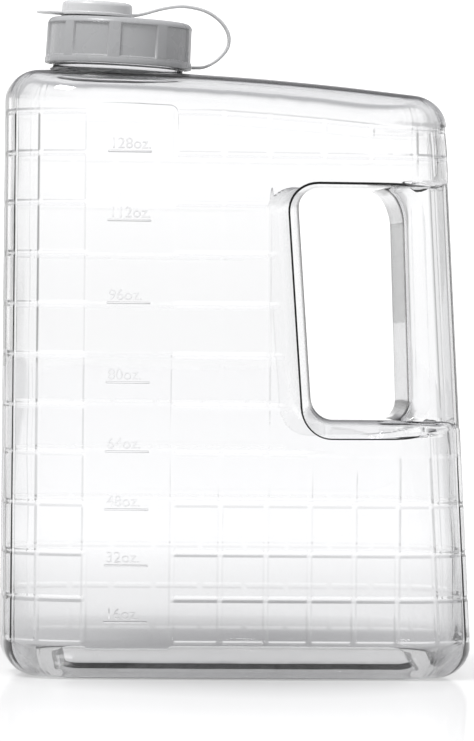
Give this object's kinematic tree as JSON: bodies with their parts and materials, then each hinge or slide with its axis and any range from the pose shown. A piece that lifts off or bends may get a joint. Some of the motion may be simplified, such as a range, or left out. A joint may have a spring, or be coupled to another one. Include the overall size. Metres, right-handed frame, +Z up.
{
  "type": "refrigerator drink jug",
  "caption": "Slim clear plastic jug for cold drinks, with a through handle, measuring marks, a screw cap and a stopper on a strap.",
  "frame": {"origin": "middle of the base, on the plane that the standing ring rests on", "axes": "+Z up; the broad front with the measuring marks looks along -Y; the neck is towards -X and the handle towards +X"},
  "size_m": [0.2112, 0.1, 0.304],
  "materials": {
    "clear_plastic": "clear blown plastic, glossy, with a faint cool tint",
    "cap_plastic": "satin moulded white plastic",
    "stopper_plastic": "satin moulded natural plastic, a little softer than the cap"
  },
  "bodies": {
    "root": {"jug_body": "clear_plastic", "screw_cap": "cap_plastic", "stopper_strap": "stopper_plastic"}
  },
  "joints": []
}
